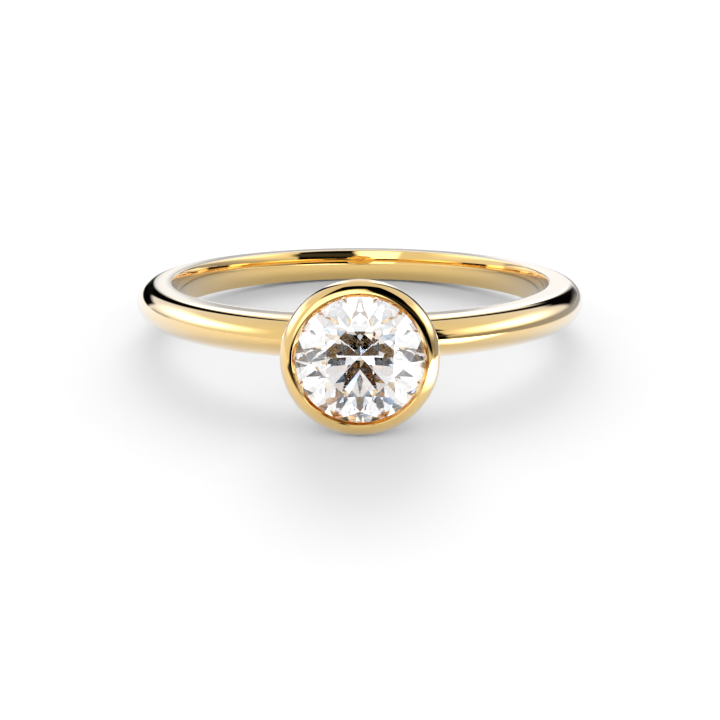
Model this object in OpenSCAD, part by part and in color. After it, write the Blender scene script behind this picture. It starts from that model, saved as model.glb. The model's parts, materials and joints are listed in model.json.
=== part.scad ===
// Round bezel solitaire ring, lying on its side: it rests on the lowest point of the bezel
// and on the back of the shank. Millimetres, +Z up, the stone looks towards -Y.

/* [Shank] */
// Diameter of the finger hole
finger_d = 17.2; // [14:0.1:22]
// Width of the shank, along the finger
shank_w = 1.65; // [1.3:0.05:2.4]
// Thickness of the shank, from the finger hole to its outside
shank_t = 1.6; // [1.4:0.05:2.4]
// Height of the rounded outside of the shank's section
dome_rise = 0.8; // [0.4:0.05:0.8]
// Width of the straight middle of the finger hole's wall
straight_w = 0.2; // [0.1:0.05:0.6]
// Radius on which the wall eases outwards from its straight middle
ease_r = 4; // [3:0.1:9]
// Rounding of the two edges of the finger hole
bore_edge_r = 0.06; // [0.04:0.01:0.12]

/* [Stone] */
// Diameter of the stone over its girdle
stone_d = 4.8; // [3:0.1:7]
// Diameter of the table, corner to corner
table_d = 2.5; // [1.4:0.02:3.6]
// Height of the crown, from the girdle to the table
crown_h = 0.69; // [0.4:0.01:1]
// Thickness of the girdle where it is thickest
girdle_h = 0.14; // [0.12:0.01:0.3]
// Depth of the pavilion, from the girdle to the culet
pavilion_h = 2.13; // [1.2:0.01:3]
// Share of the crown's slope that the star facets take up
star_share = 0.49; // [0.35:0.01:0.65]
// Share of the pavilion's slope that the lower girdle facets take up
lower_share = 0.75; // [0.6:0.01:0.9]

/* [Bezel] */
// Thickness of the bezel's wall around the girdle
bezel_wall = 0.38; // [0.37:0.01:0.8]
// How far the rim reaches over the edge of the stone
rim_over = 0.15; // [0.14:0.01:0.25]
// Width of the bright bevel that slopes from the rim to the stone
bevel_w = 0.12; // [0.08:0.01:0.14]
// Fall of the bright bevel towards the stone
bevel_drop = 0.08; // [0.04:0.01:0.12]
// Thickness of the rim's edge where the bevel ends
rim_edge_t = 0.05; // [0.03:0.01:0.1]
// Rounding between the rim and the outer wall
rim_r = 0.42; // [0.2:0.01:0.44]
// Angle by which the outer wall narrows towards the finger
wall_taper = 11.5; // [8:0.5:16]
// Thickness of the wall beside the chamber under the stone
chamber_wall = 0.55; // [0.4:0.05:0.7]
// Gap between the stone and the metal
stone_gap = 0.03; // [0.02:0.01:0.06]
// Height of the culet over the outside of the shank
culet_rise = 0.3; // [0.2:0.02:1]
// Depth of the chamber below the culet
culet_gap = 0.3; // [0.1:0.02:0.5]
// How far the foot of the bezel is let into the shank
foot_sink = 0.45; // [0.35:0.05:0.8]
// Rounding of the bezel's foot
foot_r = 0.4; // [0.2:0.05:0.6]
// Diameter of the light hole behind the stone
light_hole_d = 1; // [0.6:0.05:1.1]

/* [Hidden] */
$fn = 128;
// Margin by which a cutting shape reaches past the metal
past = 1;
// Depth by which a wall ends inside the rounding that it meets, which keeps their joint clean
tuck = 0.0001;

// Shank
bore_r = finger_d / 2;
outer_r = bore_r + shank_t;
half_w = shank_w / 2;
dome_r = (half_w * half_w + dome_rise * dome_rise) / (2 * dome_rise);
// Turn of the easing at the edge's rounding, which touches the easing arc from inside
ease_turn = asin((half_w - bore_edge_r - straight_w / 2) / (ease_r - bore_edge_r));
edge_centre_r = bore_r + ease_r - (ease_r - bore_edge_r) * cos(ease_turn) - tuck;
edge_touch_z = straight_w / 2 + ease_r * sin(ease_turn);

// Stone: eight-fold cut, its girdle drawn with a few steps to each of the sixteen girdle facets
fold = 8;
turn = 360 / fold;
steps = 4;
girdle_n = fold * 2 * steps;
stone_r = stone_d / 2;
table_r = table_d / 2;
table_flat_r = table_r * cos(turn / 2);
crown_slope = crown_h / (stone_r - table_r);
star_r = table_flat_r + star_share * (stone_r - table_flat_r);
star_z = (stone_r - star_r * cos(turn / 2)) * crown_slope;
upper_slope = star_z / ((stone_r - star_r) * cos(turn / 4));
main_slope = pavilion_h / stone_r;
lower_r = stone_r * (1 - lower_share);
lower_z = (stone_r - lower_r * cos(turn / 2)) * main_slope;
lower_slope = lower_z / ((stone_r - lower_r) * cos(turn / 4));

// Levels along the bezel's axis, counted from the middle of the finger hole
culet_level = outer_r + culet_rise;
seat_level = culet_level + pavilion_h;
girdle_level = seat_level + girdle_h;
table_level = girdle_level + crown_h;
pocket_r = stone_r + stone_gap;
opening_r = stone_r - rim_over;
under_rim_level = girdle_level + stone_gap + (stone_r - opening_r) * upper_slope;
bevel_level = under_rim_level + rim_edge_t;
crest_level = bevel_level + bevel_drop;
chamber_level = culet_level - culet_gap;
foot_level = outer_r - foot_sink;

// Outer wall: a straight taper that leaves the rim's rounding and meets the foot's rounding
bezel_r = pocket_r + bezel_wall;
rim_centre = [bezel_r - rim_r, crest_level - rim_r];
wall_normal = [cos(wall_taper), -sin(wall_taper)];
wall_top = rim_centre + rim_r * wall_normal;
function wall_radius(level) = wall_top[0] - (wall_top[1] - level) * tan(wall_taper);
foot_centre = [wall_radius(foot_level + foot_r) - foot_r / cos(wall_taper), foot_level + foot_r];
function chamber_radius(level) = wall_radius(level) - chamber_wall / cos(wall_taper);
// Level at which the seat's cone runs into the chamber's wall
seat_fall = (pocket_r - chamber_radius(seat_level)) / (1 / main_slope - tan(wall_taper));
seat_end_level = seat_level - seat_fall;

// Rest: the tilt at which the bezel's rim and the back of the shank touch one plane
lean_run = outer_r - dome_r + rim_centre[1];
lean_rise = rim_centre[0];
rest_tilt = atan2(lean_rise, lean_run) - asin((dome_r - rim_r) / norm([lean_run, lean_rise]));
hole_z = rim_centre[0] * cos(rest_tilt) - rim_centre[1] * sin(rest_tilt) + rim_r;
back_reach = (outer_r - dome_r) * cos(rest_tilt) + dome_r;
rim_reach = rim_centre[1] * cos(rest_tilt) + rim_centre[0] * sin(rest_tilt) + rim_r;
table_reach = table_level * cos(rest_tilt) + table_flat_r * sin(rest_tilt);
hole_y = (max(rim_reach, table_reach) - back_reach) / 2;

// Lays the ring down: the middle of the finger hole moves from the origin to its place at rest
module at_rest() {
    translate([0, hole_y, hole_z])
        rotate([-rest_tilt, 0, 0])
            children();
}

// Turns a shape built around +Z so that it looks out through the front of the shank
module at_front() {
    rotate([90, 0, 0])
        children();
}

// Section of the shank: towards the finger a wall that eases from a straight middle to two crisp
// edges, then flat sides and a domed outside
module shank_section() {
    intersection() {
        union() {
            translate([bore_r, -straight_w / 2])
                square([shank_t, straight_w]);
            for (side = [-1, 1])
                translate([bore_r + ease_r, side * straight_w / 2])
                    circle(ease_r);
        }
        union() {
            translate([bore_r - past, -edge_touch_z])
                square([shank_t + past, 2 * edge_touch_z]);
            translate([edge_centre_r, -half_w])
                square([outer_r - edge_centre_r, shank_w]);
            for (side = [-1, 1])
                translate([edge_centre_r, side * (half_w - bore_edge_r)])
                    circle(bore_edge_r);
        }
        union() {
            translate([outer_r - dome_r, 0])
                circle(dome_r);
            translate([bore_r - past, -shank_w])
                square([shank_t - dome_r + past, 2 * shank_w]);
        }
    }
}

// Section of the solid bezel, before its inside is cut
module bezel_section() {
    polygon([
        [0, foot_level],
        [foot_centre[0], foot_level],
        foot_centre + (foot_r - tuck) * wall_normal,
        rim_centre + (rim_r - tuck) * wall_normal,
        [rim_centre[0], crest_level],
        [0, crest_level]
    ]);
    translate(foot_centre)
        circle(foot_r);
    translate(rim_centre)
        circle(rim_r);
}

// Section of all that is cut away inside the bezel: bevel, pocket, seat, chamber and light hole
module inside_section() {
    polygon([
        [0, crest_level + past],
        [opening_r + bevel_w, crest_level + past],
        [opening_r + bevel_w, crest_level],
        [opening_r, bevel_level],
        [opening_r, under_rim_level],
        [pocket_r, under_rim_level - (pocket_r - opening_r) * upper_slope],
        [pocket_r, seat_level],
        [chamber_radius(seat_end_level), seat_end_level],
        [chamber_radius(chamber_level), chamber_level],
        [light_hole_d / 2, chamber_level],
        [light_hole_d / 2, bore_r - past],
        [0, bore_r - past]
    ]);
}

// Shank and bezel, soldered into one piece
module band_and_bezel() {
    color("#e3bd62")
        at_rest()
            difference() {
                union() {
                    rotate_extrude()
                        shank_section();
                    at_front()
                        rotate_extrude()
                            bezel_section();
                }
                at_front()
                    rotate_extrude()
                        inside_section();
            }
}

// A point at a distance from the stone's axis, in a direction and at a height
function ring_point(radius, angle, z) = [radius * cos(angle), radius * sin(angle), z];

// How far the edge of a girdle facet dips between the facet's two corners on the girdle
function scallop(step, slope) =
    stone_r * (cos((step % (2 * steps) % steps) * turn / 2 / steps - turn / 4) - cos(turn / 4)) * slope;

// Round brilliant: culet towards -Z, table towards +Z, height zero at the foot of the girdle
module brilliant() {
    table_pts = [for (k = [0 : fold - 1]) ring_point(table_r, (k + 0.5) * turn, girdle_h + crown_h)];
    star_pts = [for (k = [0 : fold - 1]) ring_point(star_r, (k + 1) * turn, girdle_h + star_z)];
    top_pts = [for (i = [0 : girdle_n - 1])
        ring_point(stone_r, turn / 2 + i * 360 / girdle_n, girdle_h - scallop(i, upper_slope))];
    foot_pts = [for (i = [0 : girdle_n - 1])
        ring_point(stone_r, turn / 2 + i * 360 / girdle_n, scallop(i, lower_slope))];
    lower_pts = [for (k = [0 : fold - 1]) ring_point(lower_r, (k + 1) * turn, -lower_z)];
    star = fold;
    top = 2 * fold;
    foot = top + girdle_n;
    lower = foot + girdle_n;
    culet = lower + fold;
    span = 2 * steps;
    table_face = [[for (k = [fold - 1 : -1 : 0]) k]];
    star_faces = [for (k = [0 : fold - 1]) [k, (k + 1) % fold, star + k]];
    kite_faces = [for (k = [0 : fold - 1])
        [k, star + k, top + k * span, star + (k + fold - 1) % fold]];
    upper_faces = [for (k = [0 : fold - 1], half = [0, 1])
        concat([star + k], [for (i = [steps : -1 : 0]) top + (k * span + half * steps + i) % girdle_n])];
    girdle_faces = [for (i = [0 : girdle_n - 1])
        [top + i, top + (i + 1) % girdle_n, foot + (i + 1) % girdle_n, foot + i]];
    lower_faces = [for (k = [0 : fold - 1], half = [0, 1])
        concat([lower + k], [for (i = [0 : steps]) foot + (k * span + half * steps + i) % girdle_n])];
    main_faces = [for (k = [0 : fold - 1])
        [culet, lower + (k + fold - 1) % fold, foot + k * span, lower + k]];
    polyhedron(
        concat(table_pts, star_pts, top_pts, foot_pts, lower_pts, [[0, 0, -pavilion_h]]),
        concat(table_face, star_faces, kite_faces, upper_faces, girdle_faces, lower_faces, main_faces)
    );
}

// The stone in its seat, a flat edge of its table upwards
module round_stone() {
    color("#f4f6fa")
        at_rest()
            at_front()
                translate([0, 0, seat_level])
                    brilliant();
}

band_and_bezel();
round_stone();
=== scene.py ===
"""Polished gold ring with a round brilliant in a plain bezel, lying on its side.

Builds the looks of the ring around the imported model. All lengths are in metres and the places
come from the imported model: the finger hole gives the middle of the shank, its radius and the
tilt at which the ring rests.
"""

import json
import math
from collections import namedtuple
import bpy
import numpy as np
from bpy.props import FloatProperty, FloatVectorProperty, IntProperty, PointerProperty
from mathutils import Matrix


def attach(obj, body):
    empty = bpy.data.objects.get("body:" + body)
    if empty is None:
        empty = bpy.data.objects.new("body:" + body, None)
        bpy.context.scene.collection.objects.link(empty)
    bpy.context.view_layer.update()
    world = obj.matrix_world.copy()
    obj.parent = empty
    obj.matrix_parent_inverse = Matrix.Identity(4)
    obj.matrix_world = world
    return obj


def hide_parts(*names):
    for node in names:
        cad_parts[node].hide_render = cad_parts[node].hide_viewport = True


bl_info = {
    "name": "Bezel Set Ring",
    "version": (1, 0, 0),
    "blender": (4, 5, 0),
    "location": "View3D > Sidebar > Ring",
    "description": "Builds a polished gold ring with a round brilliant in a bezel",
    "category": "Add Mesh",
}

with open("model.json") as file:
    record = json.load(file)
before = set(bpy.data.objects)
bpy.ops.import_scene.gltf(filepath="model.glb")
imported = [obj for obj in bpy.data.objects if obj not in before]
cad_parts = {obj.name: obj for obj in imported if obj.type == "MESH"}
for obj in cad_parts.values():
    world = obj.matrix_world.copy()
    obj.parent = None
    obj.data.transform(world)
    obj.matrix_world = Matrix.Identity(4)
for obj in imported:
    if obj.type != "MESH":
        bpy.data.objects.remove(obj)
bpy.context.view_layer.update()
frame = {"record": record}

MM = 0.001
# Scale for exact Booleans, and a length below which points coincide
ENLARGED = 1000
TINY = 1e-12
FINGER_HOLE = next(m for m in frame["record"]["mounts"] if m["name"] == "finger_hole")
HOLE_CENTRE = np.array(FINGER_HOLE["pos_m"])
HOLE_AXIS = np.array(FINGER_HOLE["axis"])
HOLE_RADIUS = FINGER_HOLE["dims"]["r_mm"] * MM
REST_TILT = math.atan2(HOLE_AXIS[1], HOLE_AXIS[2])


def turn_about_x(angle):
    """Rotation about the X axis as a 3 by 3 array."""
    c, s = math.cos(angle), math.sin(angle)
    return np.array([[1, 0, 0], [0, c, -s], [0, s, c]])


LYING = turn_about_x(-REST_TILT)
FACING_FRONT = turn_about_x(math.pi / 2)


class ShankSizes(bpy.types.PropertyGroup):
    """Sizes of the shank's section."""

    width: FloatProperty(name="Width", description="Width along the finger", default=1.65 * MM, unit="LENGTH")
    thickness: FloatProperty(
        name="Thickness", description="From finger hole to outside", default=1.6 * MM, unit="LENGTH"
    )
    ease_radius: FloatProperty(
        name="Easing radius", description="Curve of the finger hole's wall", default=4.2 * MM, unit="LENGTH"
    )
    edge_radius: FloatProperty(
        name="Edge rounding", description="At the finger hole's edges", default=0.06 * MM, unit="LENGTH"
    )
    side_flat: FloatProperty(
        name="Side flat", description="Width of the side's sloping inner part", default=0.4 * MM,
        unit="LENGTH"
    )
    side_slope: FloatProperty(
        name="Side slope", description="Slope of that part", default=math.radians(3), subtype="ANGLE"
    )
    steps_round: IntProperty(name="Steps round", description="Steps around the finger", default=512)


class BezelSizes(bpy.types.PropertyGroup):
    """Sizes of the bezel's section, measured from the stone's girdle outwards."""

    wall: FloatProperty(name="Wall", description="Wall around the girdle", default=0.38 * MM, unit="LENGTH")
    rim_over: FloatProperty(
        name="Rim over stone", description="Reach of the rim over the stone", default=0.15 * MM, unit="LENGTH"
    )
    bevel_width: FloatProperty(
        name="Bevel width", description="Width of the bright bevel", default=0.12 * MM, unit="LENGTH"
    )
    bevel_drop: FloatProperty(
        name="Bevel drop", description="Fall of the bevel to the stone", default=0.115 * MM, unit="LENGTH"
    )
    rim_edge: FloatProperty(
        name="Rim edge", description="Thickness of the rim at the stone", default=0.015 * MM, unit="LENGTH"
    )
    rim_radius: FloatProperty(
        name="Rim rounding", description="Rounding from rim to outer wall", default=0.42 * MM, unit="LENGTH"
    )
    taper: FloatProperty(
        name="Taper", description="Angle of the outer wall", default=math.radians(11.5), subtype="ANGLE"
    )
    chamber_wall: FloatProperty(
        name="Chamber wall", description="Wall beside the chamber", default=0.55 * MM, unit="LENGTH"
    )
    stone_gap: FloatProperty(
        name="Stone gap", description="Gap around the stone", default=0.03 * MM, unit="LENGTH"
    )
    culet_rise: FloatProperty(
        name="Culet rise", description="Culet over the shank's outside", default=0.3 * MM, unit="LENGTH"
    )
    culet_gap: FloatProperty(
        name="Culet gap", description="Depth of the chamber below the culet", default=0.3 * MM, unit="LENGTH"
    )
    foot_sink: FloatProperty(
        name="Foot sink", description="Depth of the foot in the shank", default=0.45 * MM, unit="LENGTH"
    )
    foot_radius: FloatProperty(
        name="Foot rounding", description="Rounding of the foot", default=0.4 * MM, unit="LENGTH"
    )
    light_hole: FloatProperty(
        name="Light hole", description="Diameter of the hole behind it", default=1.0 * MM, unit="LENGTH"
    )
    crease: FloatProperty(
        name="Crease", description="Softening of the cut edges", default=0.012 * MM, unit="LENGTH"
    )
    steps_round: IntProperty(name="Steps round", description="Steps around the stone", default=320)


class StoneSizes(bpy.types.PropertyGroup):
    """Proportions of the round brilliant."""

    diameter: FloatProperty(name="Diameter", description="Over the girdle", default=4.8 * MM, unit="LENGTH")
    table: FloatProperty(name="Table", description="Corner to corner", default=2.5 * MM, unit="LENGTH")
    crown: FloatProperty(name="Crown", description="Height of the crown", default=0.69 * MM, unit="LENGTH")
    girdle: FloatProperty(name="Girdle", description="Greatest thickness", default=0.14 * MM, unit="LENGTH")
    pavilion: FloatProperty(
        name="Pavilion", description="Depth below the girdle", default=2.13 * MM, unit="LENGTH"
    )
    star_share: FloatProperty(
        name="Star share", description="Share of the crown's slope", default=0.49, subtype="FACTOR"
    )
    lower_share: FloatProperty(
        name="Lower share", description="Share of the pavilion's slope", default=0.75, subtype="FACTOR"
    )
    steps_facet: IntProperty(name="Steps a facet", description="Girdle steps in each facet", default=12)


class Finishes(bpy.types.PropertyGroup):
    """Colours and polish."""

    gold: FloatVectorProperty(
        name="Gold", description="Colour of the gold", subtype="COLOR", default=(0.98, 0.68, 0.26)
    )
    gold_dusky: FloatVectorProperty(
        name="Dusky gold", description="Colour of its duller patches", subtype="COLOR",
        default=(0.95, 0.645, 0.235)
    )
    gold_roughness: FloatProperty(
        name="Gold roughness", description="Where it is polished best", default=0.02, subtype="FACTOR"
    )
    gold_wear: FloatProperty(
        name="Gold wear", description="Roughness added in the duller patches", default=0.03, subtype="FACTOR"
    )
    polish_wave: FloatProperty(
        name="Polishing waves", description="Depth of the waves that polishing leaves", default=0.0004 * MM,
        unit="LENGTH"
    )
    stone: FloatVectorProperty(
        name="Stone", description="Colour of the stone", subtype="COLOR", default=(1.0, 1.0, 1.0)
    )
    stone_tint: FloatVectorProperty(
        name="Stone tint", description="Colour of its faint growth bands", subtype="COLOR",
        default=(0.985, 0.99, 1.0)
    )
    stone_roughness: FloatProperty(
        name="Stone roughness", description="Greatest, over the facets", default=0.003, subtype="FACTOR"
    )


class Studio(bpy.types.PropertyGroup):
    """Camera and lights."""

    focal_share: FloatProperty(
        name="Focal share", description="Focal length over the frame's width", default=1.442, subtype="FACTOR"
    )
    distance: FloatProperty(
        name="Distance", description="From the finger hole", default=48.7 * MM, unit="LENGTH"
    )
    above_ring: FloatProperty(
        name="Above the ring", description="Camera over the ring's plane", subtype="ANGLE",
        default=math.radians(10.38)
    )
    look_lower: FloatProperty(
        name="Look lower", description="Aim below the finger hole", default=math.radians(3.67),
        subtype="ANGLE"
    )
    floor_white: FloatProperty(
        name="Floor white", description="Share of light that it returns", default=0.92, subtype="FACTOR"
    )
    # Painted shade: the floor is darker in the gold's reflections than it looks to the camera
    floor_in_gold: FloatProperty(
        name="Floor in gold", description="The same as the gold shows it", default=0.85, subtype="FACTOR"
    )
    floor_shade: FloatProperty(
        name="Floor shade", description="The same on the far right, mirrored", default=0.3, subtype="FACTOR"
    )
    floor_end: FloatProperty(
        name="Floor end", description="Where the floor ends for the gold", default=-26 * MM, unit="LENGTH"
    )
    stone_floor_end: FloatProperty(
        name="Stone's floor end", description="Where the floor ends for the stone", default=-13 * MM,
        unit="LENGTH"
    )
    colour_spread: FloatProperty(
        name="Colour spread", description="Turn of red and of blue against green in the stone",
        default=math.radians(0.2), subtype="ANGLE"
    )
    stone_tone: FloatVectorProperty(
        name="Stone's tone", description="Powers that warm the dark facets", default=(1.0, 1.1, 1.25)
    )
    # Brightness of the glow painted on the floor, a painted reflection seen only in the gold and the stone
    painted_glow_level: FloatProperty(
        name="Card level", description="Brightness of the floor's card", default=3.0, subtype="FACTOR"
    )


# Steps of the outlines' arcs, and the sides of the light hole
DOME_STEPS = 36
EDGE_STEPS = 8
EASE_STEPS = 10
CREASE_STEPS = 4
FOOT_STEPS = 12
RIM_STEPS = 16
HOLE_SIDES = 64
# Parts of a step by which turned pieces start late, so that no point of one lies on another's
HOLE_START = 0.37
BEZEL_START = 0.29

# Dull patches and shallow waves in a metre of gold and of stone
GOLD_PATCHES = 900
GOLD_WAVES = 700
STONE_PATCHES = 1500
STONE_WAVES = 400
# How fast the gold pales as it is seen at a slant, and how strongly the stone bends light
PALING_POWER = 1.65
STONE_INDEX = 2.417
# Grey of the gold for light that the floor scatters, so that its shadow stays neutral
GOLD_FOR_FLOOR = 0.38

PLACE_SOCKETS = ["Middle Across", "Middle Up", "Half Width", "Half Height", "Lean", "Edge Across", "Edge Up"]

# Areas of the floor in millimetres, in the order of PLACE_SOCKETS, which show in reflections only.
# A glow painted on the floor in front of the ring on the right is a painted reflection, a black patch painted
# beside it towards the camera is a painted dark reflection, and painted shade dims the floor from the ring's
# right side on.
FLOOR_PAINTED_GLOW = (9.5, -20.5, 6, 10, 0.3, 1.5, 1.5)
FLOOR_BLACK = (-3, -30, 7, 11, 0, 1.5, 1.5)
FLOOR_SHADE = (220, 170, 202, 230, 0, 3, 5)
# Level of the black patch painted on the floor, a painted dark reflection in the gold
PAINTED_BLACK_LEVEL = 0.03
# Side of the square floor in metres
FLOOR_SIZE = 2.0


def rounded_outline(corners, radii, steps):
    """Closed outline through corners, each rounded by its own radius.

    At a corner whose sides leave at half angle h, an arc of radius r touches both sides r / tan(h)
    away from it, about a centre r / sin(h) along the line that halves the corner.
    """
    corners = np.asarray(corners, float)
    radii = np.asarray(radii, float)[:, None]
    back = np.roll(corners, 1, 0) - corners
    ahead = np.roll(corners, -1, 0) - corners
    back /= np.linalg.norm(back, axis=1, keepdims=True)
    ahead /= np.linalg.norm(ahead, axis=1, keepdims=True)
    half = np.arccos(np.clip((back * ahead).sum(1, keepdims=True), -1, 1)) / 2
    middle = (back + ahead) / np.linalg.norm(back + ahead, axis=1, keepdims=True)
    centre = corners + middle * radii / np.sin(half)
    start = corners + back * radii / np.tan(half) - centre
    end = corners + ahead * radii / np.tan(half) - centre
    sweep = np.pi - 2 * half
    points = []
    for middle_point, first, last, angle, count in zip(centre, start, end, sweep[:, 0], steps):
        share = np.linspace(0, 1, count + 1)[:, None]
        turned = np.sin((1 - share) * angle) * first + np.sin(share * angle) * last
        points.append(middle_point + turned / np.sin(angle))
    return np.concatenate(points)


def turned_surface(outline, steps, start=0.0):
    """A closed outline of radius and height carried around the Z axis, as points and quads."""
    angle = (np.arange(steps) + start) * 2 * np.pi / steps
    radius, height = outline[:, 0], outline[:, 1]
    points = np.stack(
        [np.outer(np.cos(angle), radius), np.outer(np.sin(angle), radius), np.tile(height, (steps, 1))], -1
    )
    count = len(outline)
    row, column = np.meshgrid(np.arange(steps), np.arange(count), indexing="ij")
    next_row, next_column = (row + 1) % steps, (column + 1) % count
    quads = np.stack([
        row * count + column,
        next_row * count + column,
        next_row * count + next_column,
        row * count + next_column,
    ], -1)
    return points.reshape(-1, 3), quads.reshape(-1, 4)


def radial(points):
    """Distances of points from the Z axis."""
    return np.hypot(points[:, 0], points[:, 1])


def rod(radius, low, high, steps, start=0.0):
    """A closed cylinder about the Z axis: two rings of points, quads between them and two caps."""
    angle = (np.arange(steps) + start) * 2 * np.pi / steps
    ring = np.stack([radius * np.cos(angle), radius * np.sin(angle)], -1)
    points = np.concatenate([np.insert(ring, 2, low, 1), np.insert(ring, 2, high, 1)])
    i = np.arange(steps)
    j = (i + 1) % steps
    sides = np.stack([i, j, j + steps, i + steps], -1).tolist()
    return points, sides + [i[::-1].tolist(), (i + steps).tolist()]


def laid_down(points, facing=None):
    """Moves points from the ring's own axes, or the bezel's when facing is given, to the ring at rest."""
    if facing is not None:
        points = points @ facing.T
    return points @ LYING.T + HOLE_CENTRE


def add_piece(name, points, faces, smooth=True):
    """A mesh object from arrays of points and faces."""
    mesh = bpy.data.meshes.new(name)
    mesh.from_pydata(points, [], faces if isinstance(faces, list) else faces.tolist())
    if smooth:
        mesh.shade_smooth()
    else:
        mesh.shade_flat()
    piece = bpy.data.objects.new(name, mesh)
    bpy.context.collection.objects.link(piece)
    return piece


def arc(centre, radius, start, end, steps):
    """Points along a circle from one angle to another, both ends included."""
    angle = np.linspace(start, end, steps + 1)
    return np.stack([centre[0] + radius * np.cos(angle), centre[1] + radius * np.sin(angle)], -1)


def shank_outline(sizes):
    """Section of the shank, from the middle of its outside over its upper side and round.

    The finger hole's wall is one gentle arc, which touches a tight one at each edge: an arc of
    radius r that turns by an angle a runs r sin a along the finger and r (1 - cos a) outwards. The
    edge ends in the side's sloping inner part, and a half circle closes the outside.
    """
    half, edge, ease = sizes.width / 2, sizes.edge_radius, sizes.ease_radius
    end = math.pi / 2 - sizes.side_slope
    dome = np.array([HOLE_RADIUS + sizes.thickness - half, 0])
    side = half - sizes.side_flat * math.tan(sizes.side_slope)
    turn = math.asin((side - edge * math.sin(end)) / (ease - edge))
    ease_centre = np.array([HOLE_RADIUS + ease, 0])
    edge_centre = ease_centre + (ease - edge) * np.array([-math.cos(turn), math.sin(turn)])
    upper = np.concatenate([
        arc(dome, half, 0, math.pi / 2, DOME_STEPS)[1:],
        [(dome[0] - sizes.side_flat, half)],
        arc(edge_centre, edge, math.pi - end, math.pi - turn, EDGE_STEPS),
        arc(ease_centre, ease, math.pi - turn, math.pi, EASE_STEPS)[1:-1],
    ])
    lower = upper[::-1] * (1, -1)
    return np.concatenate([upper, [(HOLE_RADIUS, 0)], lower, [(HOLE_RADIUS + sizes.thickness, 0)]])


def stone_levels(stone):
    """Radii, heights and slopes of the brilliant, its heights counted from the foot of the girdle."""
    eighth = math.pi / 8
    radius = stone.diameter / 2
    table = stone.table / 2
    flat = table * math.cos(eighth)
    crown_slope = stone.crown / (radius - table)
    star = flat + stone.star_share * (radius - flat)
    star_height = (radius - star * math.cos(eighth)) * crown_slope
    main_slope = stone.pavilion / radius
    lower = radius * (1 - stone.lower_share)
    lower_depth = (radius - lower * math.cos(eighth)) * main_slope
    return {
        "radius": radius,
        "table": table,
        "star": star,
        "star_height": star_height,
        "upper_slope": star_height / ((radius - star) * math.cos(eighth / 2)),
        "main_slope": main_slope,
        "lower": lower,
        "lower_depth": lower_depth,
        "lower_slope": lower_depth / ((radius - lower) * math.cos(eighth / 2)),
    }


def bezel_outline(shank, bezel, stone):
    """Section of the bezel, and the level of the stone's seat, where the girdle's foot lies.

    The section is closed and given as radius from the stone's axis and level from the middle of the
    finger hole. It runs from the light hole outwards along the foot, up the outer wall, over the
    rim and back down past the stone's pocket and the chamber.
    """
    cut = stone_levels(stone)
    outer = HOLE_RADIUS + shank.thickness
    culet = outer + bezel.culet_rise
    seat = culet + stone.pavilion
    girdle = seat + stone.girdle
    pocket = cut["radius"] + bezel.stone_gap
    opening = cut["radius"] - bezel.rim_over
    under_rim = girdle + bezel.stone_gap + bezel.rim_over * cut["upper_slope"]
    bevel_foot = under_rim + bezel.rim_edge
    crest = bevel_foot + bezel.bevel_drop
    foot = outer - bezel.foot_sink
    chamber = culet - bezel.culet_gap
    lean = math.tan(bezel.taper)
    widest = pocket + bezel.wall
    # The straight outer wall touches the rim's rounding, whose widest point is the bezel's radius
    rim_centre = np.array([widest - bezel.rim_radius, crest - bezel.rim_radius])
    touch = rim_centre + bezel.rim_radius * np.array([math.cos(bezel.taper), -math.sin(bezel.taper)])

    def wall_at(level):
        """Radius of the straight outer wall, which narrows towards the foot."""
        return touch[0] - (touch[1] - level) * lean

    def chamber_at(level):
        """Radius of the chamber's wall, at the same distance from the outer one everywhere."""
        return wall_at(level) - bezel.chamber_wall / math.cos(bezel.taper)

    seat_fall = (pocket - chamber_at(seat)) / (1 / cut["main_slope"] - lean)
    hole = bezel.light_hole / 2
    crease = bezel.crease
    corners = [
        (hole, foot),
        (wall_at(foot), foot),
        (wall_at(crest), crest),
        (opening + bezel.bevel_width, crest),
        (opening, bevel_foot),
        (opening, under_rim),
        (pocket, under_rim - (pocket - opening) * cut["upper_slope"]),
        (pocket, seat),
        (chamber_at(seat - seat_fall), seat - seat_fall),
        (chamber_at(chamber), chamber),
        (hole, chamber),
    ]
    radii = [crease, bezel.foot_radius, bezel.rim_radius] + [crease] * 8
    steps = [CREASE_STEPS, FOOT_STEPS, RIM_STEPS] + [CREASE_STEPS] * 8
    return rounded_outline(corners, radii, steps), seat


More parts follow.
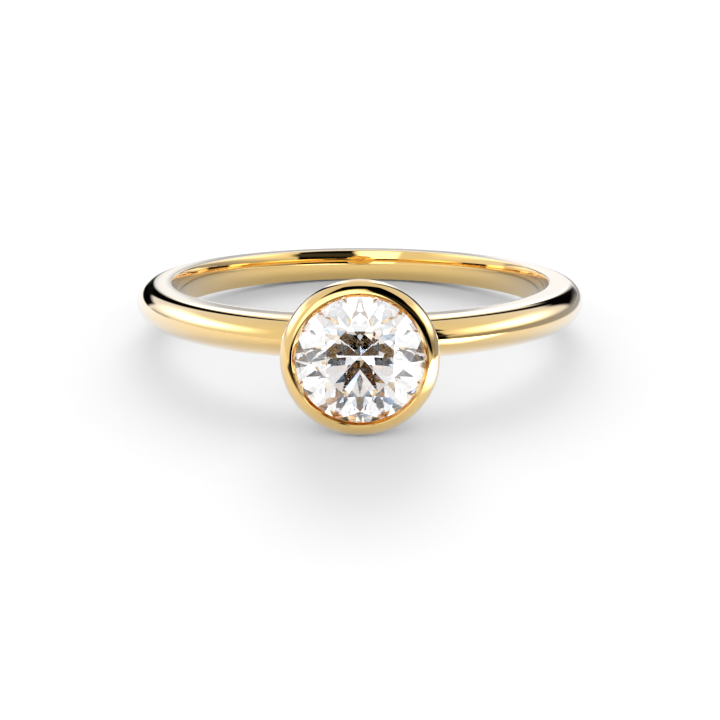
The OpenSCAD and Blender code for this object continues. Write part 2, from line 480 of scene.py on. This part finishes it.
def brilliant(stone):
    """Round brilliant with its table towards +Z: corner points of the facets and the facets.

    A girdle facet is a plane, so its edge on the round girdle dips between its two corners by the
    radius times the difference of two cosines times the plane's slope.
    """
    cut = stone_levels(stone)
    fold, steps = 8, stone.steps_facet
    turn = 2 * math.pi / fold
    count = fold * 2 * steps
    k = np.arange(fold)
    i = np.arange(count)

    def ring(radius, angle, height):
        """Points on a circle around the stone's axis, at their own angles and heights."""
        levels = np.broadcast_to(height, angle.shape)
        return np.stack([radius * np.cos(angle), radius * np.sin(angle), levels], -1)

    dip = cut["radius"] * (np.cos((i % steps) * turn / 2 / steps - turn / 4) - math.cos(turn / 4))
    around = turn / 2 + i * 2 * np.pi / count
    points = np.concatenate([
        ring(cut["table"], (k + 0.5) * turn, stone.girdle + stone.crown),
        ring(cut["star"], (k + 1) * turn, stone.girdle + cut["star_height"]),
        ring(cut["radius"], around, stone.girdle - dip * cut["upper_slope"]),
        ring(cut["radius"], around, dip * cut["lower_slope"]),
        ring(cut["lower"], (k + 1) * turn, -cut["lower_depth"]),
        [[0, 0, -stone.pavilion]],
    ])
    star, top = fold, 2 * fold
    foot = top + count
    lower = foot + count
    culet = lower + fold
    span = 2 * steps
    after, before = (k + 1) % fold, (k - 1) % fold
    along = np.arange(steps + 1)
    starts = (k[:, None] * span + np.array([0, steps])).reshape(-1, 1)
    rims = (starts + along) % count
    upper_ends = np.repeat(star + k, 2)[:, None]
    lower_ends = np.repeat(lower + k, 2)[:, None]
    # The table, stars, kites, upper girdle facets, girdle, lower girdle facets and pavilion mains
    facets = [
        np.arange(fold)[None],
        np.stack([after, k, star + k], 1),
        np.stack([k, star + before, top + k * span, star + k], 1),
        np.hstack([upper_ends, top + rims]),
        np.stack([top + i, foot + i, foot + (i + 1) % count, top + (i + 1) % count], 1),
        np.hstack([lower_ends, foot + rims[:, ::-1]]),
        np.stack([np.full(fold, culet), lower + k, foot + k * span, lower + before], 1),
    ]
    return points, [face for kind in facets for face in kind.tolist()]


def cut_with(piece, other, operation):
    """Joins or cuts a mesh by another one with an exact Boolean, and removes the other one.

    Both are enlarged for the cut, because points of a small mesh lie closer than the cut tells apart.
    """
    enlarge = Matrix.Scale(ENLARGED, 4)
    piece.data.transform(enlarge)
    other.data.transform(enlarge)
    modifier = piece.modifiers.new(operation.title(), "BOOLEAN")
    modifier.operation = operation
    modifier.solver = "EXACT"
    modifier.object = other
    graph = bpy.context.evaluated_depsgraph_get()
    mesh = bpy.data.meshes.new_from_object(piece.evaluated_get(graph))
    piece.modifiers.clear()
    old = piece.data
    piece.data = mesh
    bpy.data.meshes.remove(old)
    bpy.data.objects.remove(other)
    mesh.transform(enlarge.inverted())


def check_solid(piece):
    """Raises an error unless the piece has faces and each of its edges lies between two of them."""
    mesh = piece.data
    edges = np.empty(len(mesh.loops), int)
    mesh.loops.foreach_get("edge_index", edges)
    if len(edges) == 0 or (np.bincount(edges, minlength=len(mesh.edges)) != 2).any():
        raise RuntimeError(piece.name + " is not a closed solid")


def outline_normals(outline, radius, height):
    """Distance to a closed outline and its outward normal at the nearest point, for many points.

    Each side of the outline is tried in turn for all the points at once. A corner's normal is the
    mean of its two sides' normals, and along a side the normal goes evenly from one to the other.
    """
    step = np.roll(outline, -1, 0) - outline
    length = np.maximum(np.linalg.norm(step, axis=1), TINY)
    where = np.stack([radius, height], -1)
    best = np.full(len(where), np.inf)
    normal = np.zeros((len(where), 2))
    out = np.stack([step[:, 1], -step[:, 0]], 1) / length[:, None]
    corner = out + np.roll(out, 1, 0)
    corner /= np.linalg.norm(corner, axis=1, keepdims=True)
    for start, side, size, first, last in zip(outline, step, length, corner, np.roll(corner, -1, 0)):
        gap = where - start
        share = np.clip(gap @ side / size ** 2, 0, 1)[:, None]
        away = ((gap - share * side) ** 2).sum(1)
        near = away < best
        best[near] = away[near]
        normal[near] = first * (1 - share[near]) + last * share[near]
    return np.sqrt(best), normal / np.linalg.norm(normal, axis=1, keepdims=True)


def of_type(sockets, kind):
    """The sockets of one type, in their order; a Mix node has a set of sockets for each type."""
    return [socket for socket in sockets if socket.type == kind]


def fill(links, socket, value):
    """Links a socket into another one, or sets a number there; a vector takes it three times."""
    if isinstance(value, bpy.types.NodeSocket):
        links.new(value, socket)
    else:
        socket.default_value = value if socket.type != "VECTOR" or np.ndim(value) else (value,) * 3


def math_node(nodes, links, operation, *values):
    """A Math node whose inputs are sockets or numbers; returns its output."""
    node = nodes.new("ShaderNodeMath")
    node.operation = operation
    for socket, value in zip(node.inputs, values):
        fill(links, socket, value)
    return node.outputs[0]


def vector_node(nodes, links, operation, *values):
    """A Vector Math node whose inputs are sockets, numbers or three numbers; returns its output."""
    node = nodes.new("ShaderNodeVectorMath")
    node.operation = operation
    for socket, value in zip(node.inputs, values):
        fill(links, socket, value)
    return node.outputs[0]


def mixed(nodes, links, share, first, second):
    """first where share is 0 and second where it is 1, each with three parts; returns the output."""
    node = nodes.new("ShaderNodeMix")
    node.data_type = "VECTOR"
    node.factor_mode = "NON_UNIFORM"
    for socket, value in zip(of_type(node.inputs, "VECTOR"), (share, first, second)):
        fill(links, socket, value)
    return of_type(node.outputs, "VECTOR")[0]


def polish_group():
    """Node group, made once, for what polishing leaves: dull patches, and a height for shallow waves.

    Both are smooth noise in the object's own coordinates, with the number of patches and of waves
    in a metre as the inputs.
    """
    if "polish" in bpy.data.node_groups:
        return bpy.data.node_groups["polish"]
    group = bpy.data.node_groups.new("polish", "ShaderNodeTree")
    nodes, links = group.nodes, group.links
    inlet, outlet = nodes.new("NodeGroupInput"), nodes.new("NodeGroupOutput")
    group.interface.new_socket("Patches", in_out="INPUT", socket_type="NodeSocketFloat")
    group.interface.new_socket("Waves", in_out="INPUT", socket_type="NodeSocketFloat")
    group.interface.new_socket("Dullness", in_out="OUTPUT", socket_type="NodeSocketFloat")
    group.interface.new_socket("Height", in_out="OUTPUT", socket_type="NodeSocketFloat")
    place = nodes.new("ShaderNodeTexCoord")
    for scale, result, detail in [("Patches", "Dullness", 3), ("Waves", "Height", 1)]:
        noise = nodes.new("ShaderNodeTexNoise")
        noise.inputs["Detail"].default_value = detail
        links.new(place.outputs["Object"], noise.inputs["Vector"])
        links.new(inlet.outputs[scale], noise.inputs["Scale"])
        links.new(noise.outputs[0], outlet.inputs[result])
    return group


def polished(nodes, group, patches, waves):
    """The polish group in a material; returns its outputs Dullness and Height."""
    node = nodes.new("ShaderNodeGroup")
    node.node_tree = group
    node.inputs["Patches"].default_value = patches
    node.inputs["Waves"].default_value = waves
    return node.outputs["Dullness"], node.outputs["Height"]


def colour_mix(nodes, links, share, first, second):
    """A colour that goes from first to second as share goes from 0 to 1; returns the output."""
    node = nodes.new("ShaderNodeMix")
    node.data_type = "RGBA"
    links.new(share, node.inputs[0])
    for socket, value in zip(of_type(node.inputs, "RGBA"), (first, second)):
        if isinstance(value, bpy.types.NodeSocket):
            links.new(value, socket)
        else:
            socket.default_value = (*value, 1)
    return of_type(node.outputs, "RGBA")[0]


def gold_material(group, finish):
    """Mirror-polished yellow gold that turns paler where it is seen at a slant."""
    material = bpy.data.materials.new("yellow_gold")
    material.use_nodes = True
    nodes, links = material.node_tree.nodes, material.node_tree.links
    shader = nodes["Principled BSDF"]
    shader.inputs["Metallic"].default_value = 1
    dullness, height = polished(nodes, group, GOLD_PATCHES, GOLD_WAVES)
    worn = math_node(nodes, links, "MULTIPLY_ADD", dullness, finish.gold_wear, finish.gold_roughness)
    links.new(worn, shader.inputs["Roughness"])
    bump = nodes.new("ShaderNodeBump")
    bump.inputs["Distance"].default_value = finish.polish_wave
    links.new(height, bump.inputs["Height"])
    links.new(bump.outputs[0], shader.inputs["Normal"])
    tone = colour_mix(nodes, links, dullness, finish.gold, finish.gold_dusky)
    slant = nodes.new("ShaderNodeLayerWeight")
    slant.inputs["Blend"].default_value = 0.5
    pale = math_node(nodes, links, "POWER", slant.outputs["Facing"], PALING_POWER)
    seen = colour_mix(nodes, links, pale, tone, (1, 1, 1))
    path = nodes.new("ShaderNodeLightPath")
    grey = [GOLD_FOR_FLOOR] * 3
    colour = colour_mix(nodes, links, path.outputs["Is Diffuse Ray"], seen, grey)
    links.new(colour, shader.inputs["Base Color"])
    return material


def stone_material(group, finish):
    """Colourless stone with faint growth bands and facets polished almost perfectly."""
    material = bpy.data.materials.new("clear_stone")
    material.use_nodes = True
    nodes, links = material.node_tree.nodes, material.node_tree.links
    shader = nodes["Principled BSDF"]
    shader.inputs["Transmission Weight"].default_value = 1
    shader.inputs["IOR"].default_value = STONE_INDEX
    dullness, height = polished(nodes, group, STONE_PATCHES, STONE_WAVES)
    roughness = math_node(nodes, links, "MULTIPLY", dullness, finish.stone_roughness)
    links.new(roughness, shader.inputs["Roughness"])
    links.new(colour_mix(nodes, links, height, finish.stone, finish.stone_tint), shader.inputs["Base Color"])
    return material


class RING_OT_metal(bpy.types.Operator):
    """Make the shank and the bezel as one piece of gold"""

    bl_idname = "ring.metal"
    bl_label = "Band and bezel"

    def execute(self, context):
        scene = context.scene
        shank, bezel, stone = scene.ring_shank, scene.ring_bezel, scene.ring_stone
        band = shank_outline(shank)
        cup, _ = bezel_outline(shank, bezel, stone)
        points, quads = turned_surface(band, shank.steps_round)
        metal = add_piece("polished_gold", laid_down(points), quads)
        # The light hole is cut a millimetre past both sides of the shank
        inner, outer = HOLE_RADIUS - MM, HOLE_RADIUS + shank.thickness + MM
        points, faces = rod(bezel.light_hole / 2, inner, outer, HOLE_SIDES, HOLE_START)
        hole = add_piece("light_hole", laid_down(points, FACING_FRONT), faces)
        cut_with(metal, hole, "DIFFERENCE")
        points, quads = turned_surface(cup, bezel.steps_round, BEZEL_START)
        shell = add_piece("bezel", laid_down(points, FACING_FRONT), quads)
        cut_with(metal, shell, "UNION")
        self.exact_normals(metal, band, cup, bezel.light_hole / 2)
        check_solid(metal)
        metal.data.materials.append(gold_material(polish_group(), scene.ring_finishes))
        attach(metal, "root")
        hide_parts("band_and_bezel")
        return {"FINISHED"}

    def exact_normals(self, metal, band, cup, hole):
        """Gives each face the exact normals of the turned surface that it came from.

        The face belongs to the surface that its centre is nearest to: the shank, the bezel or the
        light hole. At each of its corners the normal is that surface's outline normal, turned to
        the corner's place around the axis.
        """
        mesh = metal.data
        points = np.empty(len(mesh.vertices) * 3)
        mesh.vertices.foreach_get("co", points)
        local = (points.reshape(-1, 3) - HOLE_CENTRE) @ LYING
        front = local @ FACING_FRONT
        centres = np.empty(len(mesh.polygons) * 3)
        mesh.polygons.foreach_get("center", centres)
        centre = (centres.reshape(-1, 3) - HOLE_CENTRE) @ LYING
        centre_front = centre @ FACING_FRONT
        to_band, _ = outline_normals(band, radial(centre), centre[:, 2])
        to_cup, _ = outline_normals(cup, radial(centre_front), centre_front[:, 2])
        to_hole = np.abs(radial(centre_front) - hole)
        kind = np.argmin([to_band, to_cup, to_hole], axis=0)

        def turned_normals(places, outline):
            """The outline's normals at places in its own axes, turned around its axis."""
            r = np.maximum(radial(places), TINY)
            _, n = outline_normals(outline, r, places[:, 2])
            return np.stack([n[:, 0] * places[:, 0] / r, n[:, 0] * places[:, 1] / r, n[:, 1]], 1)

        from_band = turned_normals(local, band) @ LYING.T
        from_cup = turned_normals(front, cup) @ FACING_FRONT.T @ LYING.T
        r = np.maximum(radial(front), TINY)
        inward = -np.stack([front[:, 0] / r, front[:, 1] / r, 0 * r], 1) @ FACING_FRONT.T @ LYING.T
        by_kind = np.stack([from_band, from_cup, inward])
        corner_vertex = np.empty(len(mesh.loops), int)
        mesh.loops.foreach_get("vertex_index", corner_vertex)
        totals = np.empty(len(mesh.polygons), int)
        mesh.polygons.foreach_get("loop_total", totals)
        corner_kind = np.repeat(kind, totals)
        mesh.normals_split_custom_set(by_kind[corner_kind, corner_vertex])


class RING_OT_stone(bpy.types.Operator):
    """Cut the round brilliant"""

    bl_idname = "ring.stone"
    bl_label = "Round stone"

    def execute(self, context):
        scene = context.scene
        _, seat = bezel_outline(scene.ring_shank, scene.ring_bezel, scene.ring_stone)
        points, faces = brilliant(scene.ring_stone)
        points[:, 2] += seat
        stone = add_piece("brilliant", laid_down(points, FACING_FRONT), faces, smooth=False)
        check_solid(stone)
        stone.data.materials.append(stone_material(polish_group(), scene.ring_finishes))
        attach(stone, "root")
        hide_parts("round_stone")
        return {"FINISHED"}


Softbox = namedtuple("Softbox", "name side across up half_width half_height lean edge_across edge_up level")

# Lights, cards and flags around the ring, placed by angles in degrees as seen from it. Across is
# counted from straight behind the ring or straight in front of it, to the right as the camera sees
# it, and up from the level of the floor. A softbox leans by lean degrees across for each degree up.
# Each later one covers the earlier ones with its own brightness, and the black ones are flags. The
# three lists are what the gold mirrors, what shows through the stone and what lights the floor.
MIRRORED = [
    Softbox("sky_low", "back", 0, 20, 400, 40, 0, 10, 20, 0.85),
    Softbox("left_box", "back", -88, 22, 26, 9, 0, 24, 9, 3.5),
    Softbox("right_box", "back", 95, 22, 22, 9, 0, 22, 9, 3.5),
    Softbox("back_box", "back", 2, 20, 24, 34, 0, 5, 10, 0.98),
    Softbox("back_left_strip", "back", -17, 34, 5, 15, -0.1, 4, 8, 2.2),
    Softbox("back_right_strip", "back", 16, 32, 6, 20, 0.1, 4, 8, 2.2),
    Softbox("horizon", "back", -1, 5, 7.5, 6, 0, 1.5, 1.5, 0.5),
    Softbox("left_flag", "back", -31, 32, 6.5, 36, -0.45, 2, 8, 0.0),
    Softbox("left_wedge", "back", -33, 6, 14, 6.5, 0, 3, 2.5, 0.0),
    Softbox("left_dim", "back", -62, 1, 10, 3, 0, 4, 2, 0.45),
    Softbox("right_flag", "back", 35.5, 32, 6.5, 38, 0.12, 3.5, 8, 0.0),
    Softbox("right_flag_foot", "back", 33.5, 14, 14.5, 13, 0, 4, 4, 0.0),
    Softbox("right_dim", "back", 90, -1, 62, 6, 0, 10, 5, 0.3),
    Softbox("front_bright", "front", -12, 13.5, 15, 15, -0.3, 2.5, 2, 2.2),
    Softbox("front_black", "front", 23.5, 27.5, 19, 34, 0, 1.5, 1.5, 0.0),
    Softbox("low_strip", "front", 24, 12, 22, 2.5, 0, 4, 1.5, 0.05),
    Softbox("low_black", "front", -7, -8.5, 14, 4, 0, 2, 1.5, 0.0),
    Softbox("top_black", "front", 5.5, 51, 42.5, 16, 0, 2.5, 2, 0.0),
]
SPARKLE = [
    Softbox("left_light", "front", -45, 5, 25, 25, 0, 1, 1, 1.8),
    Softbox("right_light", "front", 45, 5, 25, 25, 0, 1, 1, 1.8),
    Softbox("low_card", "front", 0, -36, 90, 9, 0, 1, 1, 1.6),
    Softbox("left_gap", "front", -25, 5, 4, 25, 0, 1, 1, 0.1),
    Softbox("right_gap", "front", 25, 5, 4, 25, 0, 1, 1, 0.1),
    Softbox("overhead_gap", "front", 0, 58, 18, 8, 0, 1, 1, 0.2),
    Softbox("lamp", "front", -8, 10, 4, 12, 0, 1, 1, 5.0),
    Softbox("stand", "front", 0, -7, 7, 14, 0, 1, 1, 0.0),
    Softbox("camera", "front", 2, 20, 4, 8, 0, 1, 1, 0.0),
]
LIGHTING = [
    Softbox("low_glow", "back", 0, 0, 400, 22, 0, 10, 14, 3.6),
    Softbox("back_glow", "back", 0, 12, 20, 30, 0, 12, 14, 6.5),
]
# Brightness of the sky around them
OPEN_SKY = {"mirrored": 0.75, "sparkle": 1.0, "lighting": 0.5}


def leaning_mask():
    """Node group: 1 inside a leaning rectangle, 0 outside, with soft edges, for red, green and blue.

    The rectangle's own coordinates are the distances from its middle, across less the lean times
    up. Each edge is a smooth step from half the size less the edge to half the size plus the edge.
    """
    group = bpy.data.node_groups.new("leaning_mask", "ShaderNodeTree")
    nodes, links = group.nodes, group.links
    inlet, outlet = nodes.new("NodeGroupInput"), nodes.new("NodeGroupOutput")
    for name in ["Across", "Up"]:
        group.interface.new_socket(name, in_out="INPUT", socket_type="NodeSocketVector")
    for name in PLACE_SOCKETS:
        group.interface.new_socket(name, in_out="INPUT", socket_type="NodeSocketFloat")
    group.interface.new_socket("Mask", in_out="OUTPUT", socket_type="NodeSocketVector")
    value = {socket.name: socket for socket in inlet.outputs if socket.name}
    up = vector_node(nodes, links, "SUBTRACT", value["Up"], value["Middle Up"])
    across = vector_node(nodes, links, "SUBTRACT", value["Across"], value["Middle Across"])
    shift = vector_node(nodes, links, "MULTIPLY", value["Lean"], up)
    across = vector_node(nodes, links, "SUBTRACT", across, shift)
    masks = []
    for away, half, edge in [(across, "Half Width", "Edge Across"), (up, "Half Height", "Edge Up")]:
        step = nodes.new("ShaderNodeMapRange")
        step.data_type = "FLOAT_VECTOR"
        step.interpolation_type = "SMOOTHSTEP"
        inner = math_node(nodes, links, "SUBTRACT", value[half], value[edge])
        outer = math_node(nodes, links, "ADD", value[half], value[edge])
        parts = (vector_node(nodes, links, "ABSOLUTE", away), inner, outer, 1, 0)
        for socket, part in zip(of_type(step.inputs, "VECTOR"), parts):
            fill(links, socket, part)
        masks.append(step.outputs["Vector"])
    links.new(vector_node(nodes, links, "MULTIPLY", *masks), outlet.inputs["Mask"])
    return group


def masked(nodes, links, group, across, up, place):
    """The leaning mask at a place, given as the values of PLACE_SOCKETS."""
    node = nodes.new("ShaderNodeGroup")
    node.node_tree = group
    fill(links, node.inputs["Across"], across)
    fill(links, node.inputs["Up"], up)
    for name, value in zip(PLACE_SOCKETS, place):
        node.inputs[name].default_value = value
    return node.outputs["Mask"]


def studio_world(group, studio):
    """Sky of softboxes, worked out from the direction in which a ray leaves the ring.

    What the gold shows, what the stone shows and what lights the floor are three sets of
    softboxes, as a photographer sets reflections with cards and shadows with lamps. The stone
    spreads red and blue apart: each colour looks in a slightly different direction.
    """
    world = bpy.data.worlds.new("studio")
    world.use_nodes = True
    nodes, links = world.node_tree.nodes, world.node_tree.links
    direction = nodes.new("ShaderNodeTexCoord")
    split = nodes.new("ShaderNodeSeparateXYZ")
    links.new(direction.outputs["Generated"], split.inputs[0])
    x, y, z = split.outputs
    up = math_node(nodes, links, "DEGREES", math_node(nodes, links, "ARCSINE", z))
    ahead = {"back": y, "front": math_node(nodes, links, "MULTIPLY", y, -1)}
    across = {
        side: math_node(nodes, links, "DEGREES", math_node(nodes, links, "ARCTAN2", x, along))
        for side, along in ahead.items()
    }
    spread = np.array([1, 0, -1]) * math.degrees(studio.colour_spread)
    spread_up = vector_node(nodes, links, "ADD", up, spread)
    spread_across = {
        side: vector_node(nodes, links, "SUBTRACT", value, spread) for side, value in across.items()
    }
    levels = {}
    for name, boxes, sideways, upwards in [
        ("lighting", LIGHTING, across, up),
        ("mirrored", MIRRORED, across, up),
        ("sparkle", SPARKLE, spread_across, spread_up),
    ]:
        level = vector_node(nodes, links, "ADD", OPEN_SKY[name], 0)
        for box in boxes:
            # Between a softbox's side and its level stand the values of PLACE_SOCKETS
            share = masked(nodes, links, group, sideways[box.side], upwards, box[2:-1])
            level = mixed(nodes, links, share, level, box.level)
        levels[name] = level
    warm = vector_node(nodes, links, "POWER", levels["sparkle"], tuple(studio.stone_tone))
    path = nodes.new("ShaderNodeLightPath")
    sky = nodes["Background"]
    links.new(levels["lighting"], sky.inputs["Color"])
    for kind, level in (("Is Glossy Ray", levels["mirrored"]), ("Is Transmission Ray", warm)):
        background = nodes.new("ShaderNodeBackground")
        links.new(level, background.inputs["Color"])
        mix = nodes.new("ShaderNodeMixShader")
        links.new(path.outputs[kind], mix.inputs[0])
        links.new(sky.outputs[0], mix.inputs[1])
        links.new(background.outputs[0], mix.inputs[2])
        sky = mix
    links.new(sky.outputs[0], nodes["World Output"].inputs["Surface"])
    return world


def floor_material(group, studio):
    """White floor that ends for reflections in front of the ring, with a glow painted on it as a painted
    reflection.

    The end, the painted glow and the painted shade on the right side show in the gold and the stone only. A
    black patch painted beside the glow, a painted dark reflection, and a floor darker than it looks to the
    camera show in the gold only.
    """
    material = bpy.data.materials.new("white_floor")
    material.use_nodes = True
    nodes, links = material.node_tree.nodes, material.node_tree.links
    shader = nodes["Principled BSDF"]
    shader.inputs["Roughness"].default_value = 1
    shader.inputs["Specular IOR Level"].default_value = 0
    place = nodes.new("ShaderNodeTexCoord")
    split = nodes.new("ShaderNodeSeparateXYZ")
    links.new(place.outputs["Object"], split.inputs[0])
    x, y = [math_node(nodes, links, "MULTIPLY", split.outputs[k], 1 / MM) for k in (0, 1)]
    path = nodes.new("ShaderNodeLightPath")
    in_gold, in_stone = path.outputs["Is Glossy Ray"], path.outputs["Is Transmission Ray"]
    seen = math_node(nodes, links, "MAXIMUM", in_gold, in_stone)
    # Glow painted on the floor in front of the ring, a painted reflection that shows only in the gold and the
    # stone
    painted_glow = masked(nodes, links, group, x, y, FLOOR_PAINTED_GLOW)
    shade = vector_node(nodes, links, "MULTIPLY", masked(nodes, links, group, x, y, FLOOR_SHADE), seen)
    # Painted shade: the floor as the gold shows it is a darker copy of its white
    white = mixed(nodes, links, in_gold, studio.floor_white, studio.floor_in_gold)
    shaded = mixed(nodes, links, shade, white, studio.floor_shade)
    # Black patch painted on the floor, a painted dark reflection that shows only in the gold
    black = vector_node(nodes, links, "MULTIPLY", masked(nodes, links, group, x, y, FLOOR_BLACK), in_gold)
    links.new(mixed(nodes, links, black, shaded, PAINTED_BLACK_LEVEL), shader.inputs["Base Color"])
    shader.inputs["Emission Color"].default_value = (1, 1, 1, 1)
    lit = math_node(nodes, links, "MULTIPLY", painted_glow, studio.painted_glow_level)
    glow = math_node(nodes, links, "MULTIPLY", lit, seen)
    links.new(glow, shader.inputs["Emission Strength"])
    ends = []
    for shown, end in ((in_gold, studio.floor_end), (in_stone, studio.stone_floor_end)):
        past = math_node(nodes, links, "LESS_THAN", y, end / MM)
        ends.append(math_node(nodes, links, "MULTIPLY", past, shown))
    clear = nodes.new("ShaderNodeBsdfTransparent")
    mix = nodes.new("ShaderNodeMixShader")
    links.new(math_node(nodes, links, "MAXIMUM", *ends), mix.inputs[0])
    links.new(shader.outputs[0], mix.inputs[1])
    links.new(clear.outputs[0], mix.inputs[2])
    links.new(mix.outputs[0], nodes["Material Output"].inputs["Surface"])
    return material


class RING_OT_studio(bpy.types.Operator):
    """Set up the floor, the lights and the camera"""

    bl_idname = "ring.studio"
    bl_label = "Studio"

    def execute(self, context):
        scene = context.scene
        studio = scene.ring_studio
        height = studio.above_ring + REST_TILT
        eye = HOLE_CENTRE + studio.distance * np.array([0, -math.cos(height), math.sin(height)])
        lens = bpy.data.cameras.new("camera")
        lens.sensor_width = 36
        lens.lens = 36 * studio.focal_share
        lens.clip_start = MM
        camera = bpy.data.objects.new("camera", lens)
        camera.location = eye
        camera.rotation_euler = (math.pi / 2 - height - studio.look_lower, 0, 0)
        context.collection.objects.link(camera)
        scene.camera = camera
        half = FLOOR_SIZE / 2
        corners = [(-half, -half, 0), (half, -half, 0), (half, half, 0), (-half, half, 0)]
        floor = add_piece("floor", corners, [[0, 1, 2, 3]])
        group = leaning_mask()
        floor.data.materials.append(floor_material(group, studio))
        scene.world = studio_world(group, studio)
        # Light crosses the stone many times before it leaves
        scene.cycles.max_bounces = 32
        scene.cycles.glossy_bounces = 24
        scene.cycles.transmission_bounces = 32
        scene.view_settings.view_transform = "Standard"
        return {"FINISHED"}


SIDEBAR = [
    ("ring.metal", ["ring_shank", "ring_bezel"]),
    ("ring.stone", ["ring_stone", "ring_finishes"]),
    ("ring.studio", ["ring_studio"]),
]


class RING_PT_sidebar(bpy.types.Panel):
    """Sizes, finishes and buttons of the ring in the 3D view's sidebar"""

    bl_idname = "RING_PT_sidebar"
    bl_label = "Bezel Set Ring"
    bl_space_type = "VIEW_3D"
    bl_region_type = "UI"
    bl_category = "Ring"

    def draw(self, context):
        """Lists each group of settings above the button of the operator that reads it."""
        for operator, groups in SIDEBAR:
            box = self.layout.box()
            for name in groups:
                settings = getattr(context.scene, name)
                for key in settings.bl_rna.properties.keys():
                    if key not in ("rna_type", "name"):
                        box.prop(settings, key)
            box.operator(operator)


SETTINGS = {
    "ring_shank": ShankSizes,
    "ring_bezel": BezelSizes,
    "ring_stone": StoneSizes,
    "ring_finishes": Finishes,
    "ring_studio": Studio,
}
CLASSES = [*SETTINGS.values(), RING_OT_metal, RING_OT_stone, RING_OT_studio, RING_PT_sidebar]


def register():
    """Adds the classes, and the settings to the scene."""
    for kind in CLASSES:
        bpy.utils.register_class(kind)
    for name, kind in SETTINGS.items():
        setattr(bpy.types.Scene, name, PointerProperty(type=kind))


def unregister():
    """Removes the settings and the classes."""
    for name in SETTINGS:
        delattr(bpy.types.Scene, name)
    for kind in reversed(CLASSES):
        bpy.utils.unregister_class(kind)


def main():
    register()
    bpy.ops.ring.metal()
    bpy.ops.ring.stone()
    bpy.ops.ring.studio()


if __name__ == "__main__":
    main()
